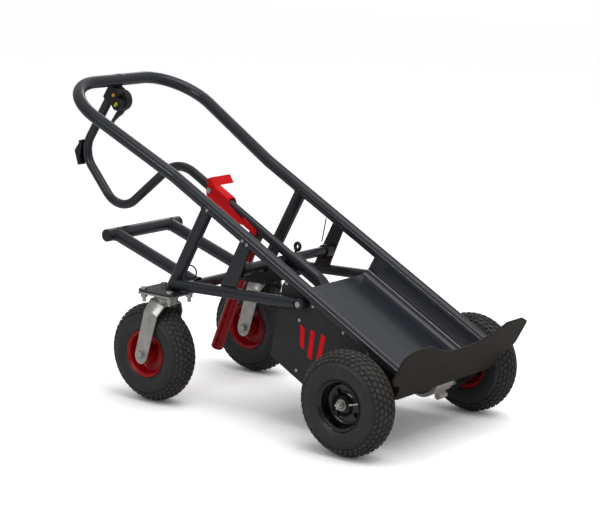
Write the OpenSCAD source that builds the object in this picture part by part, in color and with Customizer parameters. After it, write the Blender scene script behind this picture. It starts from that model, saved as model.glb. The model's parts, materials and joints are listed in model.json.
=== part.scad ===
// Powered convertible hand truck, standing on its two drive wheels and two casters.
// +Z is up, the toe plate faces -Y, the operator's handle faces +Y, and X runs across.
// Side -1 is the operator's right, side 1 the operator's left.

/* [Frame] */
// Diameter of the main rail tube
rail_dia = 33; // [30:0.5:34]
// Distance between the rails' centre lines
rail_gap = 380; // [376:1:384]
// Angle of the rails to the floor, standing on four wheels
rail_slope = 28.36; // [27.5:0.1:29]
// Length of the rail from the toe plate to where it splays outward
rail_straight = 847; // [830:1:860]
// Length along the rails from the toe plate to the top bar
rail_length = 1276; // [1260:1:1290]
// Half width of the handle at its sharp, unrounded corners
bow_half = 246; // [243:1:256]
// Radius of the handle's two corner bends
bow_radius = 134; // [120:1:140]
// Height above the floor of the rails' lower ends
foot_z = 194.5; // [192:0.5:197]
// Distance of the rails' lower ends in front of the drive axle
foot_ahead = 119; // [117:0.5:121]

/* [Toe plate and load tray] */
// Thickness of the toe plate
toe_thick = 6; // [5:0.5:7]
// Half width of the toe plate
toe_half = 268; // [262:1:270]
// Height of the toe plate's ends above the rails' centre lines
toe_top = 98; // [90:1:102]
// Radius of the hollow in the toe plate's top edge
toe_hollow_r = 326; // [315:1:335]
// Length of the load tray
tray_length = 416; // [405:1:418]
// Depth of the tray floor below the rails' centre lines
tray_depth = 61; // [58:0.5:62]

/* [Wheels] */
// Outer diameter of all four tyres
tyre_dia = 260; // [258:0.5:260]
// Width of all four tyres
tyre_width = 85; // [80:0.5:85]
// Distance between the drive wheels' centre planes
track = 537; // [535:1:540]
// Diameter of the opening in the tyre where the rim shows
rim_opening = 116; // [114:0.5:117]

/* [Casters] */
// Distance between the two swivel axes
caster_gap = 414; // [412:1:416]
// Distance of the swivel axes behind the drive axle
caster_back = 636; // [634:1:638]
// Distance of the caster axle behind its swivel axis
trail = 43; // [41:0.5:44]

/* [Controls] */
// Diameter of the control tube
control_dia = 25; // [24:0.5:25]
// Distance of the control loop's rearmost corner behind the drive axle
loop_back = 1141; // [1132:1:1144]

/* [Hidden] */
$fn = 64;

frame_grey = [0.16, 0.17, 0.19];
tray_grey = [0.26, 0.28, 0.31];
panel_grey = [0.15, 0.15, 0.15];
toe_brown = [0.14, 0.12, 0.11];
black = [0.05, 0.05, 0.05];
tyre_black = [0.07, 0.07, 0.07];
red = [0.85, 0.04, 0.06];
zinc = [0.66, 0.66, 0.63];
cast_grey = [0.55, 0.53, 0.50];

touch = 0.1;               // gap left where one tube is coped to another
hair = 0.02;               // gap between the straights and bends of one tube
running = 0.06;            // radial gap of a shaft that turns in its bore
wheel_z = tyre_dia / 2;
rail_x = rail_gap / 2;
rail_r = rail_dia / 2;
caster_x = caster_gap / 2;
drive_x = track / 2;

// Where the rails' frame puts the point s along the rails and v above them: [y, z]
function on_rails(s, v) = [s * cos(rail_slope) - v * sin(rail_slope) - foot_ahead,
    s * sin(rail_slope) + v * cos(rail_slope) + foot_z];

bracket_back = loop_back + 24;
toe_front = on_rails(-toe_thick, toe_top)[0];
origin_y = (bracket_back + toe_front) / 2;

// ---- frames -----------------------------------------------------------------

// y measured from the drive axle, z from the floor
module from_axle() { translate([0, -origin_y, 0]) children(); }

// y along the rails from the toe plate, z square to them
module along_rails() {
    from_axle() translate([0, -foot_ahead, foot_z]) rotate([rail_slope, 0, 0]) children();
}

// y down the upright leg of the control tube from the top bar, z square to it, outward
bar_point = on_rails(rail_length, 0);
loop_rear = [loop_back, 590];
grip_dir = (loop_rear - bar_point) / norm(loop_rear - bar_point);
grip_angle = atan2(grip_dir[1], grip_dir[0]);
module along_grip() {
    from_axle() translate([0, bar_point[0], bar_point[1]]) rotate([grip_angle, 0, 0]) children();
}

// the axle of a wheel as the local z axis, pointing outward on that side
module on_axle(side, x, y) {
    from_axle() translate([side * x, y, wheel_z]) rotate([0, side * 90, 0]) children();
}

module both_sides() {
    children();
    mirror([1, 0, 0]) children();
}

// ---- shared shapes ----------------------------------------------------------

// cylinder from point a to point b
module rod(a, b, r) {
    d = b - a;
    translate(a)
        rotate([0, acos(d[2] / norm(d)), atan2(d[1], d[0])])
            cylinder(r = r, h = norm(d));
}

module cross_rod(x0, x1, r) { translate([x0, 0, 0]) rotate([0, 90, 0]) cylinder(r = r, h = x1 - x0); }

module block(low, high) { translate(low) cube(high - low); }

// plate of the given outline in the y-z plane, between two x positions
module side_plate(x0, x1) {
    translate([x0, 0, 0]) rotate([90, 0, 90]) linear_extrude(x1 - x0) children();
}

// hexagon head or nut along z
module hex(r, h) { cylinder(r = r, h = h, $fn = 6); }

function bend_angle(a, b, c) =
    let (u = b - a, w = c - b) atan2(cross(u, w), u * w);
function bend_reach(a, b, c, r) = r * tan(abs(bend_angle(a, b, c)) / 2);
function reach_at(pts, radii, i) =
    i == 0 || i == len(pts) - 1 ? 0 : bend_reach(pts[i - 1], pts[i], pts[i + 1], radii[i - 1]);

// wall of a tube, in section
module ring(r, wall) {
    difference() {
        circle(r);
        circle(r - wall);
    }
}

// tube in the x-y plane along a polyline with rounded corners, open at both ends;
// its straights and bends are solids a hair apart
module bent_tube(pts, radii, dia, wall) {
    last = len(pts) - 1;
    for (i = [0 : last - 1]) {
        d = (pts[i + 1] - pts[i]) / norm(pts[i + 1] - pts[i]);
        a = pts[i] + d * (reach_at(pts, radii, i) + (i > 0 ? hair : 0));
        b = pts[i + 1] - d * (reach_at(pts, radii, i + 1) + (i < last - 1 ? hair : 0));
        translate([a[0], a[1], 0])
            rotate([0, 90, atan2(d[1], d[0])])
                linear_extrude(norm(b - a)) ring(dia / 2, wall);
    }
    for (i = [1 : last - 1]) {
        turn = bend_angle(pts[i - 1], pts[i], pts[i + 1]);
        d = (pts[i] - pts[i - 1]) / norm(pts[i] - pts[i - 1]);
        start = pts[i] - d * reach_at(pts, radii, i);
        translate([start[0], start[1], 0])
            rotate([0, 0, atan2(d[1], d[0])])
                mirror([0, turn > 0 ? 1 : 0, 0])
                    elbow(abs(turn), radii[i - 1], dia / 2, wall);
    }
}

// bent piece of tube that starts along +x and turns towards -y
module elbow(turn, r, tube_r, wall) {
    translate([0, -r, 0])
        rotate([0, 0, 90 - turn])
            rotate_extrude(angle = turn)
                translate([r, 0]) ring(tube_r, wall);
}

module straight_tube(a, b, dia, wall) {
    d = (b - a) / norm(b - a);
    difference() {
        rod(a, b, dia / 2);
        rod(a - d, b + d, dia / 2 - wall);
    }
}

// ---- main frame -------------------------------------------------------------

wall = 2.5;
kink_radius = 150;
bow_corner = [bow_half, rail_length];
splay = (bow_corner - [rail_x, rail_straight]) / norm(bow_corner - [rail_x, rail_straight]);
bow_reach = bend_reach([rail_x, rail_straight], bow_corner, [0, rail_length], bow_radius);
bow_start = bow_corner - splay * (bow_reach + 20);

module rail(side) {
    color(frame_grey) along_rails() mirror([side > 0 ? 0 : 1, 0, 0])
        bent_tube([[rail_x, 0], [rail_x, rail_straight], bow_start], [kink_radius], rail_dia, wall);
}

// two halves that meet at the middle of the top bar
module handle_bow() {
    seam = 0.1;
    color(frame_grey) along_rails() both_sides()
        bent_tube([[-bow_start[0], bow_start[1]], [-bow_corner[0], bow_corner[1]],
            [-seam, rail_length]], [bow_radius], rail_dia, wall);
}

// channel outline: flat floor, rounded lower corners, upright walls
module channel_outline(half, floor_v, top_v, r) {
    translate([-half, floor_v + r]) square([2 * half, top_v - floor_v - r]);
    translate([-half + r, floor_v]) square([2 * half - 2 * r, r + 1]);
    for (side = [-1, 1]) translate([side * (half - r), floor_v + r]) circle(r);
}

module load_tray() {
    sheet = 2;
    half = rail_x - rail_r - 0.2;
    color(tray_grey) along_rails()
        translate([0, tray_length, 0]) rotate([90, 0, 0])
            linear_extrude(tray_length - 0.1) difference() {
                channel_outline(half, -tray_depth - sheet, 2, 25);
                channel_outline(half - sheet, -tray_depth, 10, 25 - sheet);
            }
}

module toe_plate() {
    right_half = [[0, -57], [203, -57], [218, -47], [214, -33], [226, -10], [252, -3],
        [262, 7], [toe_half, 15], [toe_half, 74], [toe_half - 1.5, 80], [toe_half - 6, 85],
        [240, 95], [232, toe_top], [0, toe_top]];
    left_half = [for (i = [len(right_half) - 2 : -1 : 1]) [-right_half[i][0], right_half[i][1]]];
    color(toe_brown) along_rails()
        rotate([90, 0, 0]) linear_extrude(toe_thick) difference() {
            polygon(concat(right_half, left_half));
            translate([0, 54 + toe_hollow_r]) circle(toe_hollow_r, $fn = 160);
        }
}

module toe_gussets() {
    color(black) along_rails() both_sides()
        difference() {
            block([panel_out + 1, 0.1, -50], [206, 24, -17]);
            translate([170, 24, -60]) rotate([-52, 0, 0]) cube([40, 40, 40]);
        }
}

control_v = -68;
spine_r = 18.5;
spine_end = 538.8;
hanger_half = 25;
hanger_low = -86;
// sleeve that holds the control tube's lower end, on a hanger box under the load tray
module spine_tube() {
    t = 3;
    tray_under = -tray_depth - 2.2;
    color(frame_grey) along_rails() difference() {
        union() {
            rod([0, tray_length + 0.3, control_v], [0, spine_end, control_v], spine_r);
            block([-spine_r, tray_length + 0.3, hanger_low], [spine_r, tray_length + 4, control_v]);
            block([-hanger_half, 340, hanger_low], [hanger_half, tray_length + 1, tray_under]);
        }
        rod([0, tray_length + 4, control_v], [0, spine_end + 1, control_v], control_dia / 2 + touch);
        block([-hanger_half + t, 344, hanger_low + t], [hanger_half - t, tray_length - 3, tray_under - t]);
    }
}

cross_s = 552;
cross_v = -84;
strut_x = 193;
strut_thick = 6;
module cross_tube() {
    reach = strut_x - strut_thick / 2 - 0.2;
    color(frame_grey) along_rails() difference() {
        translate([0, cross_s, cross_v]) difference() {
            cross_rod(-reach, reach, control_dia / 2);
            cross_rod(-reach - 1, reach + 1, control_dia / 2 - 2);
        }
        rod([0, cross_s - 40, control_v], [0, cross_s + 40, control_v], control_dia / 2 + touch);
    }
}

module tube_clamps() {
    color(black) along_rails() both_sides()
        translate([0, cross_s, cross_v]) difference() {
            union() {
                cross_rod(156, 184, 17);
                block([162, -6, -26], [178, 6, -14]);
                translate([0, 0, -21]) rotate([90, 0, 0])
                    translate([170, 0, -11]) cylinder(r = 3.5, h = 22);
            }
            cross_rod(150, 190, control_dia / 2 + touch);
        }
}

loop_low = [1000, 429];
loop_start = on_rails(505, control_v);
loop_top = on_rails(989, control_v);
loop_radii = [94, 75, 70];
module control_tube() {
    color(frame_grey) difference() {
        from_axle() rotate([90, 0, 90])
            bent_tube([loop_start, loop_top, loop_low, loop_rear, bar_point],
                loop_radii, control_dia, 2);
        along_rails() {
            translate([0, rail_length, 0]) cross_rod(-40, 40, rail_r + touch);
            translate([0, lever_s, control_v]) cross_rod(-20, 20, 4.05);
        }
    }
}

// ---- panels and drive -------------------------------------------------------

panel_in = 184;
panel_out = 187;
axle_s = foot_ahead * cos(rail_slope) + (wheel_z - foot_z) * sin(rail_slope);
axle_v = (wheel_z - foot_z) * cos(rail_slope) - foot_ahead * sin(rail_slope);
pivot_s = 344;
pivot_v = -31;
panel_outline = [[4, -16.9], [420, -16.9], [423, -33], [366, -214], [190, -214], [46, -174], [4, -64]];
screw_spots = [[412, -22], [318, -22], [211, -22], [126, -22], [335, -78], [280, -195]];

module panel(side) {
    color(panel_grey) along_rails()
        mirror([side > 0 ? 0 : 1, 0, 0]) side_plate(panel_in, panel_out) difference() {
            polygon(panel_outline);
            translate([axle_s, axle_v]) circle(24);
            translate([pivot_s, pivot_v]) circle(6.4);
            for (p = screw_spots) translate(p) circle(2.6);
        }
}

module panel_screws() {
    color(zinc) along_rails() both_sides()
        for (p = screw_spots) translate([0, p[0], p[1]]) {
            cross_rod(panel_in - 6, panel_out + 0.1, 2.5);
            cross_rod(panel_out + 0.05, panel_out + 2.4, 4.6);
            cross_rod(panel_in - 5, panel_in - 0.05, 4.4);
        }
}

// three plain slanted bars
module panel_graphics() {
    bar_w = 15;
    color(red) along_rails() both_sides() side_plate(panel_out + 0.05, panel_out + 0.45)
        for (i = [0 : 2])
            translate([244 + 32 * i, -110])
                polygon([[-6 - bar_w, -44 + 10 * i], [-6, -44 + 10 * i],
                    [20, 44 - 10 * i], [20 - bar_w, 44 - 10 * i]]);
}

box_half = 130;
box_wall = 2.5;
box_outline = [[350, -100], [448, -100], [448, -176], [438, -190], [350, -190]];
box_inside = [[353, -103], [445, -103], [445, -175], [437, -187], [353, -187]];
module battery_box() {
    color(black) along_rails() {
        difference() {
            side_plate(-box_half, box_half) polygon(box_outline);
            side_plate(box_wall - box_half, box_half - box_wall) polygon(box_inside);
        }
        for (s = [352, 390])
            block([-18, s, -100.5], [18, s + 20, hanger_low - 0.1]);
    }
}

module battery_pack() {
    color([0.12, 0.2, 0.3]) along_rails() block([-120, 358, -182], [40, 440, -108]);
}

// flat box with cooling ribs underneath, hung from the cross tube on two saddles
module motor_controller() {
    low = [-105, 388, 338];
    high = [40, 486, 366];
    hanger = on_rails(cross_s, cross_v);
    color(black) from_axle() difference() {
        union() {
            block(low, high);
            for (x = [-85, 5]) block([x, hanger[0] - 8, high[2] - 1], [x + 20, hanger[0] + 8, hanger[1] - 4]);
            for (i = [0 : 9]) block([low[0] + 5 + 14.5 * i, low[1] + 4, low[2] - 5],
                [low[0] + 9 + 14.5 * i, high[1] - 4, low[2] + 1]);
        }
        translate([0, hanger[0], hanger[1]]) cross_rod(-200, 200, control_dia / 2 + touch);
    }
}

gearbox_r = 48;
motor_y = 84;
motor_z = 152;
sleeve_r = 22;
shaft_r = 10;
sleeve_end = 205;
module gearbox() {
    color(cast_grey) from_axle() difference() {
        union() {
            translate([0, 0, wheel_z]) {
                cross_rod(40, 118, gearbox_r);
                translate([118, 0, 0]) rotate([0, 90, 0]) cylinder(r1 = gearbox_r - 4, r2 = 26, h = 44);
                cross_rod(160, sleeve_end, sleeve_r);
                for (a = [0 : 45 : 315]) rotate([a, 0, 0]) block([104, -3, 30], [150, 3, 43]);
            }
            translate([0, motor_y, motor_z]) cross_rod(40, 92, 44);
            block([40, 10, wheel_z - 20], [88, motor_y, motor_z + 24]);
            translate([0, -20, wheel_z - 52]) cross_rod(84, 116, 9);
        }
        translate([0, 0, wheel_z]) cross_rod(30, sleeve_end + 1, shaft_r + running);
    }
}

module drive_motor() {
    color(black) from_axle() translate([0, motor_y, motor_z]) {
        cross_rod(-110, 39.8, 42);
        cross_rod(-122, -109, 30);
        for (i = [0 : 7]) cross_rod(-100 + 16 * i, -94 + 16 * i, 44);
    }
}

module axle_housing() {
    color(frame_grey) from_axle() translate([0, 0, wheel_z]) difference() {
        union() {
            cross_rod(-sleeve_end, 39.8, sleeve_r);
            cross_rod(28, 39.8, 38);
            cross_rod(-sleeve_end, -190, 23.6);
        }
        cross_rod(-sleeve_end - 1, 41, shaft_r + running);
    }
}

module axle_brackets() {
    color(frame_grey) along_rails() both_sides()
        side_plate(168, 176) difference() {
            polygon([[30, -90], [44, -64.5], [104, -64.5], [118, -90], [104, -140], [44, -140]]);
            translate([axle_s, axle_v]) circle(sleeve_r + touch);
        }
}

// ---- support frame and rear frame -------------------------------------------

support_x = 202;
mount_top = 302.4;
support_dia = 28;
pivot_point = on_rails(pivot_s, pivot_v);
support_front = [support_x, pivot_point[0] + 12, pivot_point[1] - 0.5];
support_rear = [support_x, 645, mount_top + support_dia / 2 + 0.1];
pivot_boss_r = 14;
leg_s = 712;
leg_dia = 34;

module leg_bar(extra) {
    along_rails() rod([rail_x, leg_s, -280], [rail_x, leg_s, 0], leg_dia / 2 + extra);
}

module support_tube(side) {
    color(frame_grey) mirror([side > 0 ? 0 : 1, 0, 0]) {
        difference() {
            from_axle() straight_tube(support_front, support_rear, support_dia, 2);
            leg_bar(touch);
            along_rails() block([150, leg_s - 6, -320], [250, leg_s + 90, 0]);
            from_axle() translate([0, pivot_point[0], pivot_point[1]]) cross_rod(180, 220, pivot_boss_r + touch);
        }
        from_axle() translate([0, pivot_point[0], pivot_point[1]]) difference() {
            cross_rod(188, 212, pivot_boss_r);
            cross_rod(187, 213, 6.1);
        }
    }
}

module rear_legs() {
    color(frame_grey) both_sides() difference() {
        leg_bar(0);
        leg_bar(-wall);
        along_rails() rod([rail_x, leg_s - 40, 0], [rail_x, leg_s + 40, 0], rail_r + touch);
        along_rails() block([rail_x - 30, leg_s - 40, 0], [rail_x + 30, leg_s + 40, 40]);
        from_axle() block([150, 500, 200], [250, 760, mount_top + touch]);
    }
}

rail_bolts = [[552, -2.5], [569, -2.5], [702, -2.5]];
module strut_bars() {
    color(panel_grey) both_sides() difference() {
        along_rails() side_plate(strut_x - strut_thick / 2, strut_x + strut_thick / 2)
            polygon([[546, -16.8], [583, -16.8], [579, -164], [532.5, -164]]);
        from_axle() rod(support_front, support_rear, support_dia / 2 + touch);
        from_axle() block([150, 300, 200], [250, 560, 326]);
    }
}

bolt_x = 38;
bolt_y = 44;
module at_caster(side) { from_axle() translate([side * caster_x, caster_back, 0]) children(); }
module at_plate_bolts() {
    for (i = [-1, 1]) for (j = [-1, 1]) translate([i * bolt_x, j * bolt_y, 0]) children();
}

module caster_mounts() {
    color(frame_grey) both_sides() at_caster(1) difference() {
        translate([0, 0, mount_top - 6]) linear_extrude(6)
            polygon([[-55, -58], [40, -58], [50, -48], [50, 50], [40, 62], [-45, 62], [-55, 52]]);
        translate([0, 0, mount_top - 10]) at_plate_bolts() cylinder(r = 5.2, h = 20);
    }
}

member_y = 620;
member_z = 302;
member_r = 14;
module rear_cross_member() {
    reach = caster_x - 55.2;
    color(frame_grey) from_axle() translate([0, member_y, member_z]) difference() {
        cross_rod(-reach, reach, member_r);
        cross_rod(-reach - 1, reach + 1, member_r - 2);
    }
}

crossbar_y = 912;
crossbar_z = 399;
crossbar_half = 142;
crossbar_r = 17;
frame_tube_x = 107;
module rear_crossbar() {
    color(frame_grey) from_axle() translate([0, crossbar_y, crossbar_z]) difference() {
        cross_rod(-crossbar_half, crossbar_half, crossbar_r);
        cross_rod(-crossbar_half - 1, crossbar_half + 1, crossbar_r - 2);
    }
}

module frame_tubes() {
    a = [frame_tube_x, member_y, member_z + 3];
    b = [frame_tube_x, crossbar_y, crossbar_z];
    color(frame_grey) from_axle() both_sides() difference() {
        straight_tube(a, b, 2 * crossbar_r, 2);
        translate([0, member_y, member_z]) cross_rod(84, 134, member_r + touch);
        translate([0, crossbar_y, crossbar_z]) cross_rod(84, 134, crossbar_r + touch);
    }
}

module frame_end_caps() {
    color(black) from_axle() translate([0, crossbar_y, crossbar_z]) both_sides() {
        cross_rod(crossbar_half + 0.05, crossbar_half + 3, crossbar_r);
        cross_rod(crossbar_half - 12, crossbar_half + 1, crossbar_r - 2.1);
    }
}

// ---- fasteners and small fittings -------------------------------------------

lever_s = 846;
module frame_bolts() {
    color(zinc) {
        along_rails() both_sides() {
            translate([0, pivot_s, pivot_v]) {
                cross_rod(180, 214, 6);
                translate([212.2, 0, 0]) rotate([0, 90, 0]) hex(7.8, 5);
                translate([175.1, 0, 0]) rotate([0, 90, 0]) hex(10, 6.8);
            }
            for (p = rail_bolts)
                translate([0, p[0], p[1]]) cross_rod(rail_x + rail_r + 0.1, rail_x + rail_r + 3, 4.2);
        }
        along_rails() translate([0, lever_s, control_v]) {
            cross_rod(-20, 20, 4);
            cross_rod(-21.5, -16.8, 7);
            cross_rod(16.8, 21.5, 7);
        }
    }
}

module caster_bolts() {
    color(zinc) both_sides() at_caster(1) at_plate_bolts() {
        translate([0, 0, 270]) cylinder(r = 4.8, h = 34);
        translate([0, 0, mount_top + 0.05]) hex(9.2, 6);
        translate([0, 0, 282]) hex(9.2, 8.6);
    }
}

module lashing_rings() {
    color(black) {
        along_rails() {
            translate([28, cross_s + 3, cross_v + 34.5]) rotate([0, 90, -10])
                rotate_extrude() translate([9, 0]) circle(4.6);
            rod([28, cross_s + 3, cross_v + 24], [28, cross_s + 1, cross_v + 12.7], 3);
        }
        from_axle() {
            translate([-160, 596.4, 346.4]) rotate([0, 90, 15])
                rotate_extrude() translate([17.5, 0]) circle(2);
            rod([-164.5, 612, 346.4], [-173.1, 612, 346.4], 2);
        }
    }
}

module release_cable() {
    color(black) along_rails() rod([178, 600, -14.5], [170, 576, -74], 1.6);
}

module accessory_bracket() {
    back = [[-5, 33], [-1, 34], [24, 2], [11, -39], [2, -37], [5, -14], [-1, 6]];
    hollow = [[-6, 30], [-2, 30.5], [20.5, 2], [9, -35.5], [1, -33], [3, -14], [-4, 6]];
    color(black) from_axle() translate([0, loop_rear[0], loop_rear[1]]) {
        difference() {
            side_plate(-11, 11) polygon(back);
            side_plate(-8.5, 8.5) polygon(hollow);
        }
        translate([-15, 1, 29]) rotate([0, 90, 0]) cylinder(r = 3.5, h = 3.9);
    }
}

// ---- control unit -----------------------------------------------------------

orange_at = [34, -22];
rocker_at = [50, -43];
brake_at = [61, -47];
drum_at = [44, -34];
drum_r = 28;
module housing_outline() {
    translate([19, -34]) square([44, 34]);
    translate([30, -20]) circle(16);
    translate(rocker_at) circle(17);
}

module control_housing() {
    sleeve = 18.5;
    color(black) along_grip() difference() {
        union() {
            rod([0, 19, 0], [0, 65, 0], sleeve);
            side_plate(-20, 0) housing_outline();
            side_plate(-1, 20) {
                translate([19, -34]) square([44, 34]);
                translate(drum_at) circle(drum_r);
            }
            side_plate(0.4, 19.6) translate(brake_at) circle(9);
        }
        rod([0, 10, 0], [0, 90, 0], control_dia / 2 + touch);
        translate([0, orange_at[0], orange_at[1]]) cross_rod(-21, -14, 5);
        translate([0, rocker_at[0], rocker_at[1]]) cross_rod(-21, -12, 9);
        side_plate(3.5, 16.5) translate(brake_at) {
            circle(11);
            translate([0, -12]) square([30, 27]);
        }
    }
    color(zinc) along_grip() translate([0, brake_at[0], brake_at[1]]) cross_rod(1, 19, 3);
}

module brake_lever() {
    blade = [[3, -7], [18, -6.5], [34, 1], [54, 7], [69, 6], [82, -2], [90, -10.5], [94, -6.5],
        [86, 3], [71, 10.5], [51, 11.5], [34, 10], [15, 9], [4, 6]];
    color(black) along_grip() difference() {
        side_plate(4, 16) translate(brake_at) {
            circle(7.5);
            polygon(blade);
        }
        translate([0, brake_at[0], brake_at[1]]) cross_rod(0, 20, 3 + running);
    }
}

module power_button() {
    color([0.95, 0.55, 0.08]) along_grip()
        translate([0, orange_at[0], orange_at[1]]) cross_rod(-23.5, -17.5, 4.6);
}

module speed_rocker() {
    color([0.9, 0.85, 0.1]) along_grip() translate([-17.5, rocker_at[0], rocker_at[1]]) {
        for (i = [-1, 1]) translate([0, i * 3.2, 0]) cross_rod(-5.5, 0, 3.6);
        block([-2.5, -5, -2.5], [0, 5, 2.5]);
        translate([0, 0, -4.5]) cylinder(r = 1.5, h = 9);
    }
}

// ---- latch lever and foot bar -----------------------------------------------

bar_s = 667;
bar_v = -99;
foot_length = 339;
foot_rake = 21.85;
module latch_block() {
    color(black) along_rails() {
        difference() {
            block([-12, bar_s - 16, bar_v - 8], [12, bar_s + 16, -72]);
            rod([0, bar_s - 30, control_v], [0, bar_s + 30, control_v], control_dia / 2 + touch);
            translate([0, bar_s, bar_v]) cross_rod(-20, 20, 5 + touch);
        }
        translate([0, bar_s, bar_v]) cross_rod(-18.5, 18.5, 5);
    }
}

// folded sheet that straddles the control tube, seen along the tube
module lever_arch(half, top, r) {
    translate([-half, -110]) square([2 * half, top - r + 110]);
    for (side = [-1, 1]) translate([side * (half - r), top - r]) circle(r);
    translate([r - half, top - r]) square([2 * (half - r), r]);
}

// thumb tab folded up at the lever's top end and reaching out over side 1
module latch_lever() {
    half = 16.4;
    side_view = [[658, -82.5], [662, -69.5], [713.5, -63.6], [721.5, -70.8], [770, -65],
        [786, -49], [852, -49], [857, -62], [858, -72], [850, -84], [836, -91], [745, -91],
        [716, -86], [706, -82.5]];
    color(red) along_rails() difference() {
        union() {
            intersection() {
                side_plate(-half - 1, half + 1) polygon(side_view);
                translate([0, 870, 0]) rotate([90, 0, 0]) linear_extrude(220) difference() {
                    lever_arch(half, -49.5, 9);
                    lever_arch(half - 3, -52.5, 6);
                }
            }
            for (x = [-half, half - 3]) side_plate(x, x + 3)
                polygon([[840, -62], [841, -50], [861.5, -38], [870, -48.8], [857, -62]]);
            side_plate(-half, 65) polygon([[841, -51.5], [863, -39.4], [861.5, -36.8], [839.5, -49]]);
        }
        translate([0, lever_s, control_v]) cross_rod(-20, 20, 4 + running);
    }
}

module foot_bar() {
    outer = 16.5;
    wall = 2;
    pivot = on_rails(bar_s, bar_v);
    color(red) from_axle() translate([0, pivot[0], pivot[1]]) rotate([foot_rake, 0, 0])
        difference() {
            union() {
                translate([0, 0, 2 - foot_length]) cylinder(r = outer, h = foot_length - 2);
                translate([0, 0, -foot_length]) cylinder(r1 = outer - 1.5, r2 = outer, h = 2);
                intersection() {
                    translate([0, 0, -1]) cylinder(r = outer, h = 12);
                    cross_rod(-outer, outer, 10);
                }
            }
            translate([0, 0, 3 - foot_length]) cylinder(r = outer - wall, h = foot_length + 20);
            block([-13.2, -20, -27], [13.2, 20, 20]);
            cross_rod(-20, 20, 5 + running);
        }
}

// ---- wheels -----------------------------------------------------------------

tube_r = tyre_width / 2;
tube_at = tyre_dia / 2 - tube_r;
rim_r = rim_opening / 2;
bead_r = 52;
flange_at = 33.5;

// tyre centred on the local origin, axle along z: an open casing on two beads
module tyre() {
    casing = 7;
    rotate_extrude($fn = 128) {
        difference() {
            union() {
                translate([tube_at, 0]) circle(tube_r);
                translate([tube_at + 8, -27]) square([tube_r - 11, 54]);
            }
            translate([tube_at, 0]) circle(tube_r - casing);
            translate([0, -60]) square([rim_r + 4, 120]);
        }
        for (z = [-flange_at + 0.2, flange_at - 8.2])
            translate([bead_r, z]) square([rim_r + 6 - bead_r, 8]);
    }
}

// one pressed half of a rim, its flange at +z
module rim_half(hub_bore, hub_end) {
    rotate_extrude($fn = 96) {
        polygon([[48.5, 0.05], [51.8, 0.05], [51.8, flange_at], [60, flange_at],
            [60, flange_at + 3], [48.5, flange_at + 3]]);
        translate([hub_bore, 0.05]) square([50 - hub_bore, 3]);
        translate([hub_bore, 0.05]) square([20 - hub_bore, hub_end - 0.05]);
    }
}

module drive_tyre(side) { color(tyre_black) on_axle(side, drive_x, 0) tyre(); }

module drive_rim_outer(side) {
    color(black) on_axle(side, drive_x, 0) difference() {
        rim_half(shaft_r + 0.05, 24);
        for (a = [0 : 90 : 270]) rotate([0, 0, a + 45]) translate([33, 0, -1]) cylinder(r = 5, h = 6);
    }
}

module drive_rim_inner(side) {
    color(red) on_axle(side, drive_x, 0) mirror([0, 0, 1]) difference() {
        rim_half(shaft_r + 0.05, 34);
        for (a = [0 : 90 : 270]) rotate([0, 0, a + 45]) translate([33, 0, -1]) cylinder(r = 5, h = 6);
    }
}

module drive_shaft(side) {
    inner = side > 0 ? 62 : 20;
    color(zinc) on_axle(side, drive_x, 0) {
        translate([0, 0, inner - drive_x]) cylinder(r = shaft_r, h = drive_x - inner + 30);
        translate([0, 0, 24.05]) cylinder(r = 17, h = 3);
        translate([0, 0, 27]) hex(13.5, 9);
        for (a = [0 : 90 : 270]) rotate([0, 0, a + 45]) translate([33, 0, -9]) {
            cylinder(r = 4.9, h = 20);
            translate([0, 0, 12.15]) hex(8, 7);
            translate([0, 0, -1]) hex(8, 6.9);
        }
    }
}

caster_axle_r = 6;
fork_half = 51;
fork_thick = 5;
fork_slant = 16;
leg_half = 21;
fork_below = 25;
module caster_plate(side) {
    crown_top = 285.3;
    plate_top = mount_top - 6.1;
    color(zinc) at_caster(side) {
        difference() {
            translate([0, 0, plate_top - 5]) linear_extrude(5)
                polygon([[-50, -54], [44, -54], [48, -50], [48, 50], [44, 54], [-50, 54]]);
            translate([0, 0, plate_top - 10]) at_plate_bolts() cylinder(r = 5.2, h = 20);
        }
        translate([0, 0, crown_top]) cylinder(r1 = 24, r2 = 29, h = plate_top - 4.9 - crown_top);
        translate([0, 0, 265]) cylinder(r = 8, h = plate_top - 4 - 265);
        translate([0, 0, 262.5]) cylinder(r = 12, h = 4);
    }
}

module fork_front_view() {
    difference() {
        polygon([[-fork_half, -fork_below], [-fork_half, 120], [-33, 151], [33, 151], [fork_half, 120],
            [fork_half, -fork_below]]);
        polygon([[-fork_half + fork_thick, -fork_below - 1], [-fork_half + fork_thick, 118], [-30, 144.5],
            [30, 144.5], [fork_half - fork_thick, 118],
            [fork_half - fork_thick, -fork_below - 1]]);
    }
}

module caster_fork(side) {
    color(zinc) at_caster(side) difference() {
        union() {
            translate([0, trail, wheel_z]) rotate([fork_slant, 0, 0]) difference() {
                translate([0, leg_half, 0]) rotate([90, 0, 0])
                    linear_extrude(2 * leg_half) fork_front_view();
                for (i = [-1, 1]) translate([0, i * leg_half, -fork_below]) rotate([45, 0, 0])
                    cube([120, 18, 18], center = true);
                cross_rod(-60, 60, caster_axle_r + 0.05);
            }
            translate([0, 0, 268]) cylinder(r = 29, h = 17);
        }
        translate([0, 0, 255]) cylinder(r = 8 + running, h = 40);
        translate([0, 0, 255]) cylinder(r = 13, h = 11.8);
    }
}

module caster_axle(side) {
    color(zinc) at_caster(side) translate([0, trail, wheel_z]) {
        cross_rod(-fork_half - 2, fork_half + 8, caster_axle_r);
        for (i = [0, 1]) mirror([i, 0, 0]) {
            cross_rod(41, fork_half - fork_thick - 0.1, 11);
            translate([fork_half + 0.1, 0, 0]) rotate([0, 90, 0]) hex(10.5, 7);
        }
    }
}

module caster_tyre(side) { color(tyre_black) on_axle(side, caster_x, caster_back + trail) tyre(); }

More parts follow.
